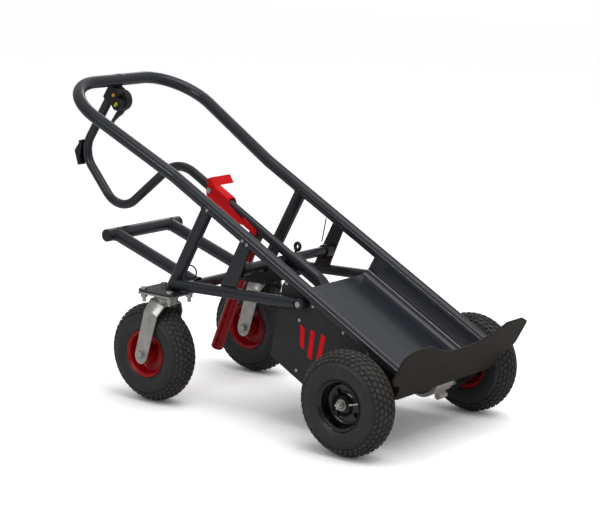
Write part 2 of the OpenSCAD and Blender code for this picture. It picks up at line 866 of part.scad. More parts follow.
module caster_rim(side) {
    color(red) on_axle(side, caster_x, caster_back + trail) {
        rim_half(caster_axle_r + running, 40.6);
        mirror([0, 0, 1]) rim_half(caster_axle_r + running, 40.6);
        translate([0, 0, -0.1]) difference() {
            cylinder(r = 20, h = 0.2);
            translate([0, 0, -1]) cylinder(r = caster_axle_r + running, h = 2);
        }
    }
}

rail(-1);  // right_rail
rail(1);  // left_rail
handle_bow();
load_tray();
toe_plate();
toe_gussets();
spine_tube();
cross_tube();
tube_clamps();
control_tube();
panel(-1);  // right_side_panel
panel(1);  // left_side_panel
panel_screws();
panel_graphics();
battery_box();
battery_pack();
motor_controller();
gearbox();
drive_motor();
axle_housing();
axle_brackets();
support_tube(-1);  // right_support_tube
support_tube(1);  // left_support_tube
rear_legs();
strut_bars();
caster_mounts();
rear_cross_member();
rear_crossbar();
frame_tubes();
frame_end_caps();
frame_bolts();
caster_bolts();
lashing_rings();
release_cable();
accessory_bracket();
control_housing();
latch_block();
caster_plate(-1);  // right_caster_plate
caster_plate(1);  // left_caster_plate
drive_tyre(-1);  // right_drive_tyre
drive_rim_outer(-1);  // right_drive_rim_outer
drive_rim_inner(-1);  // right_drive_rim_inner
drive_shaft(-1);  // right_drive_shaft
drive_tyre(1);  // left_drive_tyre
drive_rim_outer(1);  // left_drive_rim_outer
drive_rim_inner(1);  // left_drive_rim_inner
drive_shaft(1);  // left_drive_shaft
caster_fork(-1);  // right_caster_fork
caster_axle(-1);  // right_caster_axle
caster_tyre(-1);  // right_caster_tyre
caster_rim(-1);  // right_caster_rim
caster_fork(1);  // left_caster_fork
caster_axle(1);  // left_caster_axle
caster_tyre(1);  // left_caster_tyre
caster_rim(1);  // left_caster_rim
latch_lever();
foot_bar();
brake_lever();
power_button();
speed_rocker();
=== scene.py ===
import json
import math

import bmesh
import bpy
from mathutils import Matrix, Vector

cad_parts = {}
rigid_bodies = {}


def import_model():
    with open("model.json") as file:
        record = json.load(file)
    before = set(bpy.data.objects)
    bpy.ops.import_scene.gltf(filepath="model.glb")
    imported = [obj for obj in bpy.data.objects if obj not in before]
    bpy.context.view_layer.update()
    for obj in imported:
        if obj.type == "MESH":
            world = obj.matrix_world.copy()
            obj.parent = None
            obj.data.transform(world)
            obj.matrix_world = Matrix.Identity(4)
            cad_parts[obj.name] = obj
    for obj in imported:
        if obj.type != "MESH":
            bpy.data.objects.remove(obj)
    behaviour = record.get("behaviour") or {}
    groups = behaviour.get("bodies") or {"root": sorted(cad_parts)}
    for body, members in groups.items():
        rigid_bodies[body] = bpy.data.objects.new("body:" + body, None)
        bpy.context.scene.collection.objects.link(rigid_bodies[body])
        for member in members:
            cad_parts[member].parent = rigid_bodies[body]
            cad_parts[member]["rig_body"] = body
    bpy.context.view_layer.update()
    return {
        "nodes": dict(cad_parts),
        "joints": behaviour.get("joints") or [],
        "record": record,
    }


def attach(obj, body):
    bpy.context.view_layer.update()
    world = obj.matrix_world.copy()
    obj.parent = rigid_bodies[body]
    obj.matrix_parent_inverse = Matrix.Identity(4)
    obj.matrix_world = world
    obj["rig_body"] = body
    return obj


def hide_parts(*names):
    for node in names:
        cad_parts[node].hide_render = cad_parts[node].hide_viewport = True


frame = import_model()

MM = 0.001
X = Vector((1, 0, 0))
scene = bpy.context.scene
joints = {j["name"]: j for j in frame["joints"]}

# ---- places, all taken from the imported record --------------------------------

toe_mount = next(m for m in frame["record"]["mounts"] if m["name"] == "toe_face")
along = -Vector(toe_mount["axis"])               # up the rails, from the toe plate
square = Vector((0, -along.z, along.y))          # square to the rails, upward
foot = Vector(toe_mount["pos_m"]) + (6 * along + 20 * square) * MM

axle = Vector(joints["right_drive_wheel_spin"]["pos_m"])
axle.x = 0


def rails(x, s, v):
    """Point at x across, s along the rails and v above them, in millimetres."""
    return foot + (X * x + along * s + square * v) * MM


def ground(x, y, z):
    """Point at x across, y behind the drive axle and z above the floor, in millimetres."""
    return Vector((x * MM, axle.y + y * MM, z * MM))


def basis(origin, ex, ey, ez):
    """Frame at `origin` whose local axes are ex, ey and ez."""
    m = Matrix((ex, ey, ez)).transposed().to_4x4()
    m.translation = origin
    return m


RAILS = basis(foot, X, along, square)

# ---- camera ------------------------------------------------------------------

CAMERA_AT = (-3.7541, -3.07888, 1.3470)
FOCAL_LENGTH, SENSOR_WIDTH = 113.44, 36          # millimetres
FAR_LIMIT = 100                                  # metres

heading, tilt, roll = math.radians(-51.9), math.radians(11.54), math.radians(1.09)
level = Vector((math.cos(heading), math.sin(heading), 0))
back = Vector((math.sin(heading) * math.cos(tilt), -math.cos(heading) * math.cos(tilt),
               math.sin(tilt)))
upright = back.cross(level)
cam_right = level * math.cos(roll) + upright * math.sin(roll)
cam_up = upright * math.cos(roll) - level * math.sin(roll)
camera = bpy.data.objects.new("camera", bpy.data.cameras.new("camera"))
scene.collection.objects.link(camera)
camera.matrix_world = basis(Vector(CAMERA_AT), cam_right, cam_up, back)
camera.data.lens = FOCAL_LENGTH
camera.data.sensor_width = SENSOR_WIDTH
camera.data.clip_end = FAR_LIMIT
scene.camera = camera

# ---- materials ---------------------------------------------------------------

COLOUR_A, COLOUR_B, MIXED_COLOUR = 6, 7, 2       # the colour sockets of a Mix node


class Surface:
    """A procedural material: colour variation, roughness variation and a fine bump."""

    def __init__(self, name):
        self.material = bpy.data.materials.new(name)
        self.material.use_nodes = True
        self.tree = self.material.node_tree
        self.shader = self.tree.nodes["Principled BSDF"]
        self.place = self.tree.nodes.new("ShaderNodeTexCoord").outputs["Object"]
        self.height = None

    def link(self, a, b):
        self.tree.links.new(a, b)

    def node(self, kind, **values):
        made = self.tree.nodes.new("ShaderNode" + kind)
        for key, value in values.items():
            setattr(made, key, value)
        return made

    def noise(self, scale, detail=3, rough=0.55):
        n = self.node("TexNoise")
        n.inputs["Scale"].default_value = scale
        n.inputs["Detail"].default_value = detail
        n.inputs["Roughness"].default_value = rough
        self.link(self.place, n.inputs["Vector"])
        return n.outputs["Fac"]

    def cells(self, scale):
        n = self.node("TexVoronoi", feature="F1")
        n.inputs["Scale"].default_value = scale
        self.link(self.place, n.inputs["Vector"])
        return n

    def ramp(self, value, low, high, a=0.0, b=1.0):
        """Maps low..high to a..b."""
        n = self.node("MapRange", clamp=True)
        self.link(value, n.inputs["Value"])
        for key, number in zip(("From Min", "From Max", "To Min", "To Max"), (low, high, a, b)):
            n.inputs[key].default_value = number
        return n.outputs["Result"]

    def mix(self, share, a, b):
        """Colour between a and b, each a triple or a socket."""
        n = self.node("Mix", data_type="RGBA")
        self.link(share, n.inputs["Factor"])
        for socket, colour in ((n.inputs[COLOUR_A], a), (n.inputs[COLOUR_B], b)):
            if isinstance(colour, tuple):
                socket.default_value = (*colour, 1)
            else:
                self.link(colour, socket)
        return n.outputs[MIXED_COLOUR]

    def colour(self, value):
        self.link(value, self.shader.inputs["Base Color"])

    def rough(self, value):
        self.link(value, self.shader.inputs["Roughness"])

    def bump(self, height, distance):
        n = self.node("Bump")
        n.inputs["Strength"].default_value = 1.0
        n.inputs["Distance"].default_value = distance
        self.link(height, n.inputs["Height"])
        if self.height is not None:
            self.link(self.height, n.inputs["Normal"])
        self.height = n.outputs["Normal"]
        self.link(self.height, self.shader.inputs["Normal"])

    def set(self, **values):
        for key, value in values.items():
            socket = key.replace("_", " ").title().replace("Ior", "IOR")
            self.shader.inputs[socket].default_value = value
        return self


def painted(name, dark, light, rough, orange_peel=0.00006, peel_scale=420, coat=0.0, shine=0.5):
    """Sprayed paint or powder coat: faint mottling and orange peel, and a clear coat if asked for."""
    s = Surface(name)
    s.colour(s.mix(s.ramp(s.noise(11, 6), 0.3, 0.7), dark, light))
    s.rough(s.ramp(s.noise(38, 5), 0.3, 0.7, rough[0], rough[1]))
    s.bump(s.noise(peel_scale, 2), orange_peel)
    s.set(specular_ior_level=shine)
    if coat:
        s.set(coat_weight=coat, coat_roughness=0.12)
    return s.material


def grained(name, dark, light, rough, scale, depth):
    """Moulded plastic or coarse powder coat: small round grains."""
    s = Surface(name)
    grain = s.cells(scale).outputs["Distance"]
    s.colour(s.mix(s.ramp(s.noise(23, 5), 0.3, 0.7), dark, light))
    s.rough(s.ramp(s.noise(90, 4), 0.3, 0.7, rough[0], rough[1]))
    s.bump(grain, depth)
    return s.material


def plated(name, dark, light, rough):
    """Zinc plate: a mottled, slightly warm grey with a fine spangle."""
    s = Surface(name)
    spangle = s.cells(240).outputs["Color"]
    grey = s.node("RGBToBW")
    s.link(spangle, grey.inputs[0])
    s.colour(s.mix(s.ramp(s.noise(60, 6), 0.35, 0.65), dark, light))
    s.rough(s.ramp(grey.outputs[0], 0.0, 1.0, rough[0], rough[1]))
    s.bump(s.noise(900, 3), 0.00003)
    return s.set(metallic=0.85).material


def cast(name, dark, light):
    """Rough die casting."""
    s = Surface(name)
    s.colour(s.mix(s.ramp(s.noise(55, 6), 0.35, 0.65), dark, light))
    s.rough(s.ramp(s.noise(120, 4), 0.3, 0.7, 0.42, 0.62))
    s.bump(s.noise(700, 4, 0.7), 0.00018)
    return s.set(metallic=0.7).material


def rubber(name, dark, light, rough, dust_and_highlight=(0.42, 0.75)):
    """Rubber with pale dust mottling where the noise lies between its two last values; the lighter
    brown tread colours passed in are partly a painted highlight.
    """
    s = Surface(name)
    # pale mottling: dust, and on the tread partly a painted highlight
    dust_and_highlight_share = s.ramp(s.noise(34, 7, 0.65), *dust_and_highlight)
    s.colour(s.mix(dust_and_highlight_share, dark, light))
    s.rough(s.ramp(s.noise(70, 5), 0.3, 0.7, *rough))
    s.bump(s.noise(950, 3), 0.00009)
    return s.material


# Each surface has a dark and a light colour, the range of its roughness, and its grain.
MATERIALS = {
    "frame_paint": painted("anthracite_paint", (0.0220, 0.0245, 0.0320), (0.0270, 0.0300, 0.0385),
                           (0.20, 0.28)),
    "tray_paint": painted("tray_paint", (0.0258, 0.0290, 0.0375), (0.0270, 0.0304, 0.0395),
                          (0.22, 0.25), orange_peel=0.000015, peel_scale=160, coat=0.2),
    "toe_paint": painted("toe_paint", (0.0235, 0.0180, 0.0130), (0.0255, 0.0198, 0.0145),
                         (0.56, 0.62), shine=0.25),
    "panel_paint": grained("panel_paint", (0.020, 0.020, 0.021), (0.025, 0.025, 0.027),
                           (0.5, 0.62), 900, 0.00007),
    "black_paint": painted("black_paint", (0.008, 0.008, 0.009), (0.012, 0.012, 0.013),
                           (0.26, 0.38)),
    "rim_black": painted("rim_black", (0.004, 0.004, 0.005), (0.006, 0.006, 0.007),
                         (0.14, 0.22), coat=0.4),
    "black_plastic": grained("black_plastic", (0.009, 0.009, 0.010), (0.014, 0.014, 0.014),
                             (0.44, 0.58), 1100, 0.00008),
    "battery_case": grained("battery_case", (0.012, 0.016, 0.024), (0.018, 0.024, 0.034),
                            (0.4, 0.5), 800, 0.0001),
    "red_paint": painted("red_paint", (0.90, 0.001, 0.006), (0.96, 0.002, 0.009),
                         (0.34, 0.44), shine=0.22),
    # a darker copy of the red paint for the rims and the foot bar: painted shade, as these parts sit
    # in shade
    "shaded_red": painted("shaded_red", (0.40, 0.002, 0.006), (0.46, 0.003, 0.009),
                        (0.22, 0.30), shine=0.4),
    "zinc_plate": plated("zinc_plate", (0.46, 0.455, 0.43), (0.60, 0.595, 0.57), (0.30, 0.44)),
    "cast_alloy": cast("cast_alloy", (0.62, 0.60, 0.56), (0.76, 0.73, 0.68)),
    "tyre_rubber": rubber("tyre_sidewall", (0.024, 0.0242, 0.027), (0.036, 0.036, 0.039),
                          (0.42, 0.56)),
    # tread blocks: lighter and browner than the sidewall, a painted highlight of the block tops, with
    # dust mottling over it
    "tread_rubber": rubber("tyre_tread", (0.040, 0.036, 0.033), (0.085, 0.076, 0.066),
                           (0.60, 0.8), (0.35, 0.7)),
    "orange_plastic": grained("orange_plastic", (0.95, 0.52, 0.03), (0.98, 0.58, 0.05),
                              (0.35, 0.45), 1200, 0.00004),
    "yellow_plastic": grained("yellow_plastic", (0.95, 0.90, 0.03), (0.98, 0.94, 0.05),
                              (0.32, 0.42), 1200, 0.00004),
}

# ---- mesh building -----------------------------------------------------------

SHARP_ANGLE = 35                                 # degrees; sharper edges are beveled and stay crisp
FINE_BEVEL = 0.5                                 # millimetres
MERGE, FLAT_WITHIN = 2e-6, 1.0                   # metres, degrees: clean-up of the CAD meshes


class Piece:
    """A mesh put together from closed solids, in the shared frame."""

    def __init__(self, name, body, slot, material=None, replaces=()):
        self.name, self.body, self.slot, self.nodes = name, body, slot, replaces
        self.material = MATERIALS[material or slot]
        self.bm = bmesh.new()

    def ring(self, points):
        return [self.bm.verts.new(p) for p in points]

    def skin(self, rings, closed=False):
        """Quads between successive loops of points; the first and last are capped or joined."""
        rings = [self.ring(r) for r in rings]
        pairs = list(zip(rings, rings[1:])) + ([(rings[-1], rings[0])] if closed else [])
        faces = []
        for a, b in pairs:
            n = len(a)
            for i in range(n):
                faces.append(self.bm.faces.new((a[i], a[(i + 1) % n], b[(i + 1) % n], b[i])))
        if not closed:
            faces.append(self.bm.faces.new(rings[0][::-1]))
            faces.append(self.bm.faces.new(rings[-1]))
        bmesh.ops.recalc_face_normals(self.bm, faces=faces)
        return faces

    def lathe(self, profile, at, steps):
        """Turns a profile of (distance along the axis, radius) round the local x axis of `at`."""
        rings = []
        for i in range(steps):
            a = math.tau * i / steps
            rings.append([at @ Vector((x * MM, r * MM * math.cos(a), r * MM * math.sin(a)))
                          for x, r in profile])
        return self.skin(rings, closed=True)

    def prism(self, outline, low, high, at):
        """Extrudes an outline in the local y-z plane from x = low to x = high."""
        return self.skin([[at @ Vector((x * MM, y * MM, z * MM)) for y, z in outline]
                          for x in (low, high)])

    def box(self, low, high, at):
        outline = [(low[1], low[2]), (high[1], low[2]), (high[1], high[2]), (low[1], high[2])]
        return self.prism(outline, low[0], high[0], at)

    def hexagon(self, across, low, high, at):
        """Hexagon head along the local x axis, its corners turned off as on a real nut."""
        r = across / math.sqrt(3)
        loops = []
        for x, share in ((low, 0.93), (low + 0.8, 1.0), (high - 0.8, 1.0), (high, 0.93)):
            loops.append([at @ Vector((x * MM, r * share * MM * math.cos(k * math.pi / 3),
                                       r * share * MM * math.sin(k * math.pi / 3))) for k in range(6)])
        return self.skin(loops)

    def tube(self, path, radius, sides=32, closed=False, radii=None):
        """Round bar along a path of points in metres; `radii` can give one radius for each point."""
        rings = []
        count = len(path)
        side = None
        for i, p in enumerate(path):
            before = path[i - 1] if i or closed else p
            after = path[(i + 1) % count] if i < count - 1 or closed else p
            direction = (after - before).normalized()
            if side is None:
                side = direction.orthogonal().normalized()
            side = (side - direction * side.dot(direction)).normalized()
            other = direction.cross(side)
            r = (radii[i] if radii else radius) * MM
            turns = [math.tau * k / sides for k in range(sides)]
            rings.append([p + (side * math.cos(a) + other * math.sin(a)) * r for a in turns])
        return self.skin(rings, closed=closed)

    def done(self, bevel=0.0, angle=SHARP_ANGLE):
        mesh = bpy.data.meshes.new(self.name)
        self.bm.to_mesh(mesh)
        self.bm.free()
        made = bpy.data.objects.new(self.name, mesh)
        scene.collection.objects.link(made)
        finish_mesh(made, self.material, bevel, angle)
        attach(made, self.body)
        if self.nodes:
            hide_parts(*self.nodes)
        return made


def finish_mesh(made, material, bevel, angle=SHARP_ANGLE):
    """Material, rounded edges of `bevel` millimetres, and smooth shading up to `angle` degrees."""
    made.data.materials.clear()
    made.data.materials.append(material)
    made.data.shade_smooth()
    if bevel:
        m = made.modifiers.new("bevel", "BEVEL")
        m.width, m.segments, m.limit_method = bevel * MM, 2, "ANGLE"
        m.angle_limit = math.radians(angle)
        m.use_clamp_overlap = True
    made.data.set_sharp_from_angle(angle=math.radians(angle))


def soften(node, slot, bevel=FINE_BEVEL, material=None):
    """A copy of a CAD solid with its edges rounded off, which stands for that solid."""
    source = frame["nodes"][node]
    mesh = source.data.copy()
    bm = bmesh.new()
    bm.from_mesh(mesh)
    bmesh.ops.remove_doubles(bm, verts=bm.verts, dist=MERGE)
    bmesh.ops.dissolve_limit(bm, angle_limit=math.radians(FLAT_WITHIN), verts=bm.verts,
                             edges=bm.edges)
    bm.to_mesh(mesh)
    bm.free()
    made = bpy.data.objects.new(node + "_finished", mesh)
    scene.collection.objects.link(made)
    finish_mesh(made, MATERIALS[material or slot], bevel)
    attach(made, source["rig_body"])
    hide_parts(node)
    return made


def fillet(points, radii, step):
    """A polyline with its inner corners rounded to the radii given, one point every `step` degrees."""
    path = [points[0]]
    for i, radius in enumerate(radii, start=1):
        a, b, c = points[i - 1], points[i], points[i + 1]
        u, w = (b - a).normalized(), (c - b).normalized()
        turn = u.angle(w)
        reach = radius * math.tan(turn / 2)
        start = b - u * reach
        inward = (w - u * w.dot(u)).normalized()
        centre = start + inward * radius
        count = max(2, int(math.degrees(turn) / step))
        for k in range(count + 1):
            t = turn * k / count
            path.append(centre + u * radius * math.sin(t) - inward * radius * math.cos(t))
    path.append(points[-1])
    return path


# ---- tubes of the frame ------------------------------------------------------

BEAD_R, BEAD_STEP = 2.2, 1.5                     # a weld bead, and the distance between its points
RIPPLE_LENGTH, RIPPLE = 2.3, 0.16                # the ripple's height is a share of the radius


def bead(name, paths):
    """Weld beads: rippled rods along closed paths."""
    piece = Piece(name, "chassis", "frame_paint")
    for path in paths:
        length = sum((b - a).length for a, b in zip(path, path[1:] + path[:1]))
        count = max(24, int(length / MM / BEAD_STEP))
        even = resample(path, count)
        radii = [BEAD_R * (1 + RIPPLE * math.sin(math.tau * i * BEAD_STEP / RIPPLE_LENGTH))
                 for i in range(count)]
        piece.tube(even, BEAD_R, 8, closed=True, radii=radii)
    return piece.done(angle=60)


def resample(path, count):
    """Evenly spaced points round a closed path."""
    loop = path + [path[0]]
    lengths = [(b - a).length for a, b in zip(loop, loop[1:])]
    step, points, i, gone = sum(lengths) / count, [], 0, 0.0
    for k in range(count):
        while gone + lengths[i] < k * step:
            gone += lengths[i]
            i += 1
        points.append(loop[i].lerp(loop[i + 1], (k * step - gone) / lengths[i]))
    return points


def saddle(start, direction, r, through, axis, big_r, steps=72):
    """Where a tube of radius r from `start` meets a round tube: a closed path, in metres."""
    direction, axis = direction.normalized(), axis.normalized()
    u = direction.orthogonal().normalized()
    v = direction.cross(u)
    flat = direction - axis * direction.dot(axis)
    path = []
    for k in range(steps):
        a = math.tau * k / steps
        p = start + (u * math.cos(a) + v * math.sin(a)) * r * MM
        w = (p - through) - axis * (p - through).dot(axis)
        qa, qb, qc = flat.dot(flat), 2 * flat.dot(w), w.dot(w) - (big_r * MM) ** 2
        under = max(0.0, qb * qb - 4 * qa * qc)
        path.append(p + direction * ((-qb - math.sqrt(under)) / (2 * qa)))
    return path


RAIL_R, CONTROL_R, LEG_R, BAR_R, MEMBER_R = 16.5, 12.5, 17, 17, 14
RAIL_X, BOW_X, BEND_S, BOW_S = 190, 246, 847, 1276   # the rails spread from the bend up to the bow
LEG_S, FRAME_TUBE_X, SPINE_V = 712, 107, -68
RAIL_BENDS, CONTROL_BENDS = (0.150, 0.134, 0.134, 0.150), (0.094, 0.075, 0.070)   # radii, metres
BEND_STEP = 4                                    # degrees
TUBE_BEVEL = 0.6                                 # millimetres

rail_knots = [rails(-RAIL_X, 0, 0), rails(-RAIL_X, BEND_S, 0), rails(-BOW_X, BOW_S, 0),
              rails(BOW_X, BOW_S, 0), rails(RAIL_X, BEND_S, 0), rails(RAIL_X, 0, 0)]
rail_path = fillet(rail_knots, RAIL_BENDS, BEND_STEP)
main_frame = Piece("rails_and_handle", "chassis", "frame_paint",
                   replaces=["right_rail", "left_rail", "handle_bow"])
main_frame.tube(rail_path, RAIL_R, 40)
# a low collar in the middle of the bow, under the end of the control tube
main_frame.tube([rails(x, BOW_S, 0) for x in (-9, -6, 7, 10)], RAIL_R, 40,
                radii=[RAIL_R, 17.2, 17.2, RAIL_R])
main_frame.done(bevel=TUBE_BEVEL)

bar_middle = rails(0, BOW_S, 0)
control_knots = [rails(0, 505, SPINE_V), rails(0, 989, SPINE_V), ground(0, 1000, 429),
                 ground(0, 1141, 590), bar_middle]
# the tube stops just inside the bow
upright_end = bar_middle + (control_knots[3] - bar_middle).normalized() * 0.0125
control_path = fillet(control_knots[:-1] + [upright_end], CONTROL_BENDS, BEND_STEP)
control = Piece("control_tube_bent", "chassis", "frame_paint", replaces=["control_tube"])
control.tube(control_path, CONTROL_R, 36)
control.done(bevel=FINE_BEVEL)

# The sleeve that holds the control tube; its end is cut down to the tray floor on a slant.
SLEEVE_R, SLEEVE_TOP, TRAY_END, FLOOR_V = 18.5, 538.8, 416.4, -63.5
SLANT = 2                                        # along the sleeve for each unit up from the floor
ABOVE, BELOW = 20, 24                            # steps round it above the floor's plane and below
sleeve = Piece("spine_sleeve", "chassis", "frame_paint", replaces=["spine_tube"])
brow = math.asin((FLOOR_V - SPINE_V) / SLEEVE_R)
turns = [brow + (math.pi - 2 * brow) * k / ABOVE for k in range(ABOVE + 1)]
turns += [math.pi - brow + (math.pi + 2 * brow) * k / BELOW for k in range(1, BELOW)]
edge = [(SLEEVE_R * math.cos(a), SPINE_V + SLEEVE_R * math.sin(a)) for a in turns]
cut = sleeve.ring([rails(x, TRAY_END + SLANT * max(0.0, v - FLOOR_V), v) for x, v in edge])
top = sleeve.ring([rails(x, SLEEVE_TOP, v) for x, v in edge])
faces = [sleeve.bm.faces.new((cut[i - 1], cut[i], top[i], top[i - 1])) for i in range(len(cut))]
faces += [sleeve.bm.faces.new(loop) for loop in (top, cut[:ABOVE + 1], cut[ABOVE:] + cut[:1])]
bmesh.ops.recalc_face_normals(sleeve.bm, faces=faces)
# the block under the tray floor
sleeve.box((-25, 340, -86), (25, 417, -63.2), RAILS)
sleeve.done(bevel=TUBE_BEVEL)

# weld beads where the legs, the support frame's tubes and the control tube end on other tubes
seams = []
for side in (-1, 1):
    rail_here, leg_foot = rails(side * RAIL_X, LEG_S, 0), rails(side * RAIL_X, LEG_S, -140)
    seams.append(saddle(leg_foot, square, LEG_R, rail_here, along, RAIL_R))
    low_corner = ground(side * FRAME_TUBE_X, 620, 305)
    high_corner = ground(side * FRAME_TUBE_X, 912, 399)
    run = high_corner - low_corner
    middle = low_corner.lerp(high_corner, 0.5)
    seams.append(saddle(middle, run, BAR_R, high_corner, X, BAR_R))
    member = ground(side * FRAME_TUBE_X, 620, 302)
    seams.append(saddle(middle, -run, BAR_R, member, X, MEMBER_R))
last_run = bar_middle - control_knots[3]
seams.append(saddle(control_knots[3].lerp(bar_middle, 0.5), last_run, CONTROL_R, bar_middle, X,
                    RAIL_R))
bead("tube_welds", seams)

# ---- wheels ------------------------------------------------------------------

TYRE_R, SECTION_R, TREAD_DEPTH = 130, 42.5, 3.6
SECTION_AT = TYRE_R - SECTION_R
TREAD_ROWS, ROW_PITCH, BLOCKS_AROUND = 8, math.radians(15.6), 46
BLOCK = ((-0.5, -0.16), (-0.22, -0.5), (0.22, -0.5), (0.5, -0.16),
         (0.5, 0.16), (0.22, 0.5), (-0.22, 0.5), (-0.5, 0.16))
BLOCK_LAYERS = ((SECTION_R - 5.0, 1.08), (SECTION_R - 1.0, 1.0), (SECTION_R, 0.84))


def wheel_frame(joint, side):
    """Local x along the axle, outward on that side."""
    return basis(Vector(joints[joint]["pos_m"]), X * side, Vector((0, -1, 0)), Vector((0, 0, 1)))


def section(angle, radius):
    """Point of the tyre's section, as (distance along the axle, radius from it)."""
    return radius * math.sin(angle), SECTION_AT + radius * math.cos(angle)


def casing_profile():
    """Closed section of the casing: tread floor, ribbed sidewalls, beads and the hollow inside."""
    outer = []
    for degrees in range(-128, 129, 4):
        a = math.radians(degrees)
        off_crown = abs(degrees)
        depth = TREAD_DEPTH if off_crown < 62 else TREAD_DEPTH * max(0.0, (70 - off_crown) / 8)
        rib = 0.8 if off_crown in (76, 112, 120) else 0.5 if 88 <= off_crown <= 100 else 0.0
        outer.append(section(a, SECTION_R - depth + rib))
    toe_in = [(31.8, 62.6), (29.0, 59.8), (24.0, 58.6), (18.0, 60.0)]
    hollow = [section(math.radians(d), 35.0) for d in range(120, -121, -12)]
    return outer + toe_in + hollow + [(-x, r) for x, r in reversed(toe_in)]


def tyre(name, body, at, replaces):
    """Casing, and as a second piece the tread blocks in staggered rows."""
    piece = Piece(name, body, "tyre_rubber", replaces=replaces)
    piece.lathe(casing_profile(), at, 120)
    piece.done(angle=40)
    # the blocks take the tread rubber, whose lighter brown is a painted highlight
    piece = Piece(name + "_blocks", body, "tyre_rubber", "tread_rubber")
    for row in range(TREAD_ROWS):
        off_middle = row - (TREAD_ROWS - 1) / 2
        middle = off_middle * ROW_PITCH
        width = 0.66 if abs(off_middle) > 3 else 0.76
        for k in range(BLOCKS_AROUND):
            turn = math.tau * (k + 0.5 * (row % 2)) / BLOCKS_AROUND
            loops = []
            for depth, share in BLOCK_LAYERS:
                loop = []
                for u, v in BLOCK:
                    phi = middle + v * share * ROW_PITCH * width
                    theta = turn + u * share * math.tau / BLOCKS_AROUND * 0.75
                    x, r = section(phi, depth)
                    loop.append(at @ Vector((x * MM, r * MM * math.sin(theta),
                                             r * MM * math.cos(theta))))
                loops.append(loop)
            piece.skin(loops)
    return piece.done(angle=40)


RIM_LIP = [(12, 53.2), (27, 53.6), (31.0, 54.4), (33.4, 56.0), (34.6, 58.0), (36.0, 59.8),
           (37.3, 60.8), (37.8, 61.8), (37.0, 62.8), (35.6, 62.4), (34.2, 60.6), (32.6, 58.4),
           (30.0, 57.0), (26.5, 56.4), (12, 55.8), (6.5, 54.6), (2.6, 51.6), (0.4, 47.5)]


def rim(name, body, material, at, bore, hub, replaces):
    """Pressed rim half: stepped hub, disc and a rolled lip. `hub` is how far out it stands."""
    face = [(0.15, bore), (hub, bore), (hub, 15.8), (hub - 1, 17.0), (hub - 4, 17.4),
            (hub - 4.6, 19.6), (hub - 7.6, 19.8), (hub - 8.2, 18.8), (hub - 10.2, 18.8),
            (hub - 10.8, 21.2), (hub - 13, 21.6), (7.5, 22.4), (5.4, 25.0), (4.2, 29.0),
            (3.4, 33.0), (3.4, 44.0), (4.2, 47.6), (7.0, 51.0)]
    slot = "black_paint" if material == "rim_black" else "red_paint"
    piece = Piece(name, body, slot, material, replaces=replaces)
    piece.lathe(face + RIM_LIP + [(0.15, 40.0)], at, 96)
    return piece.done(angle=32)


VALVE_STEPS = ((0, 3.6), (8, 3.2), (8.2, 2.5), (13, 2.5), (13.1, 2.1), (24, 2.1), (24.1, 2.9),
               (30, 2.9), (30.8, 2.2))           # distance along the stem, radius


def valve(name, body, at, turn):
    """Tube valve: a stepped stem that leans out of the barrel, with its cap."""
    ey = Vector((0, math.cos(turn), math.sin(turn)))
    lean = (ey * -1.0 + Vector((0.42, 0, 0))).normalized()
    root = Vector((15 * MM, 0, 0)) + ey * 54.0 * MM
    piece = Piece(name, body, "zinc_plate")
    piece.tube([at @ (root + lean * d * MM) for d, _ in VALVE_STEPS], 1, 20,
               radii=[r for _, r in VALVE_STEPS])
    return piece.done(angle=30)


SIDES = ((-1, "right"), (1, "left"))
DRIVE_BORE, CASTER_BORE, STUD_CIRCLE = 10.06, 6.07, 36

for side, word in SIDES:
    body = word + "_drive_wheel"
    at = wheel_frame(word + "_drive_wheel_spin", side)
    inward = at @ Matrix.Scale(-1, 4, (1, 0, 0))
    tyre(word + "_drive_tyre_treaded", body, at, [word + "_drive_tyre"])
    rim(word + "_drive_rim_dish", body, "rim_black", at, DRIVE_BORE, 24,
        [word + "_drive_rim_outer"])
    # the back half of the rim in the darker red copy: painted shade
    rim(word + "_drive_rim_back", body, "shaded_red", inward, DRIVE_BORE, 33,
        [word + "_drive_rim_inner"])
    valve(word + "_drive_valve", body, at, math.radians(12))
    hub = Piece(word + "_drive_nut", body, "zinc_plate", replaces=[word + "_drive_shaft"])
    # the shaft's inner end: the right shaft reaches further in than the left one
    wheel_x = at.translation.x * side / MM
    inner_end = (62 if side > 0 else 20) - wheel_x
    hub.lathe([(inner_end, 0.01), (inner_end, 9), (inner_end + 1, 10), (28, 10), (28, 0.01)], at, 40)
    # flange, nut with its six castellations, shaft end and split pin
    hub.lathe([(24.1, 8), (24.1, 13.4), (24.6, 14.2), (26.2, 14.2), (26.8, 13.4), (26.8, 8)], at, 48)
    hub.hexagon(21, 26.9, 33.4, at)
    for k in range(6):
        tooth = at @ Matrix.Rotation(k * math.pi / 3, 4, "X")
        hub.prism([(6.6, -2.6), (9.6, -3.0), (9.9, 0), (9.6, 3.0), (6.6, 2.6)], 33.0, 37.2, tooth)
    hub.lathe([(33.0, 0.01), (33.0, 6.2), (37.8, 6.2), (38.8, 5.2), (38.8, 0.01)], at, 32)
    hub.tube([at @ (Vector((35.6, -11.5, 1.2)) * MM), at @ (Vector((35.6, 13.0, 1.2)) * MM)], 1.3, 12)
    hub.done(angle=30)
    studs = Piece(word + "_rim_bolts", body, "black_paint", "rim_black")
    for k in range(4):
        a = math.radians(45 + 90 * k)
        spot = at @ Matrix.Translation((0, STUD_CIRCLE * MM * math.cos(a),
                                        STUD_CIRCLE * MM * math.sin(a)))
        studs.hexagon(12, 3.5, 8.8, spot)
        studs.lathe([(8, 0.01), (8, 3.9), (11.4, 3.9), (12, 3.3), (12, 0.01)], spot, 20)
        studs.hexagon(12, -9.0, -3.5, spot)
    studs.done(angle=30)

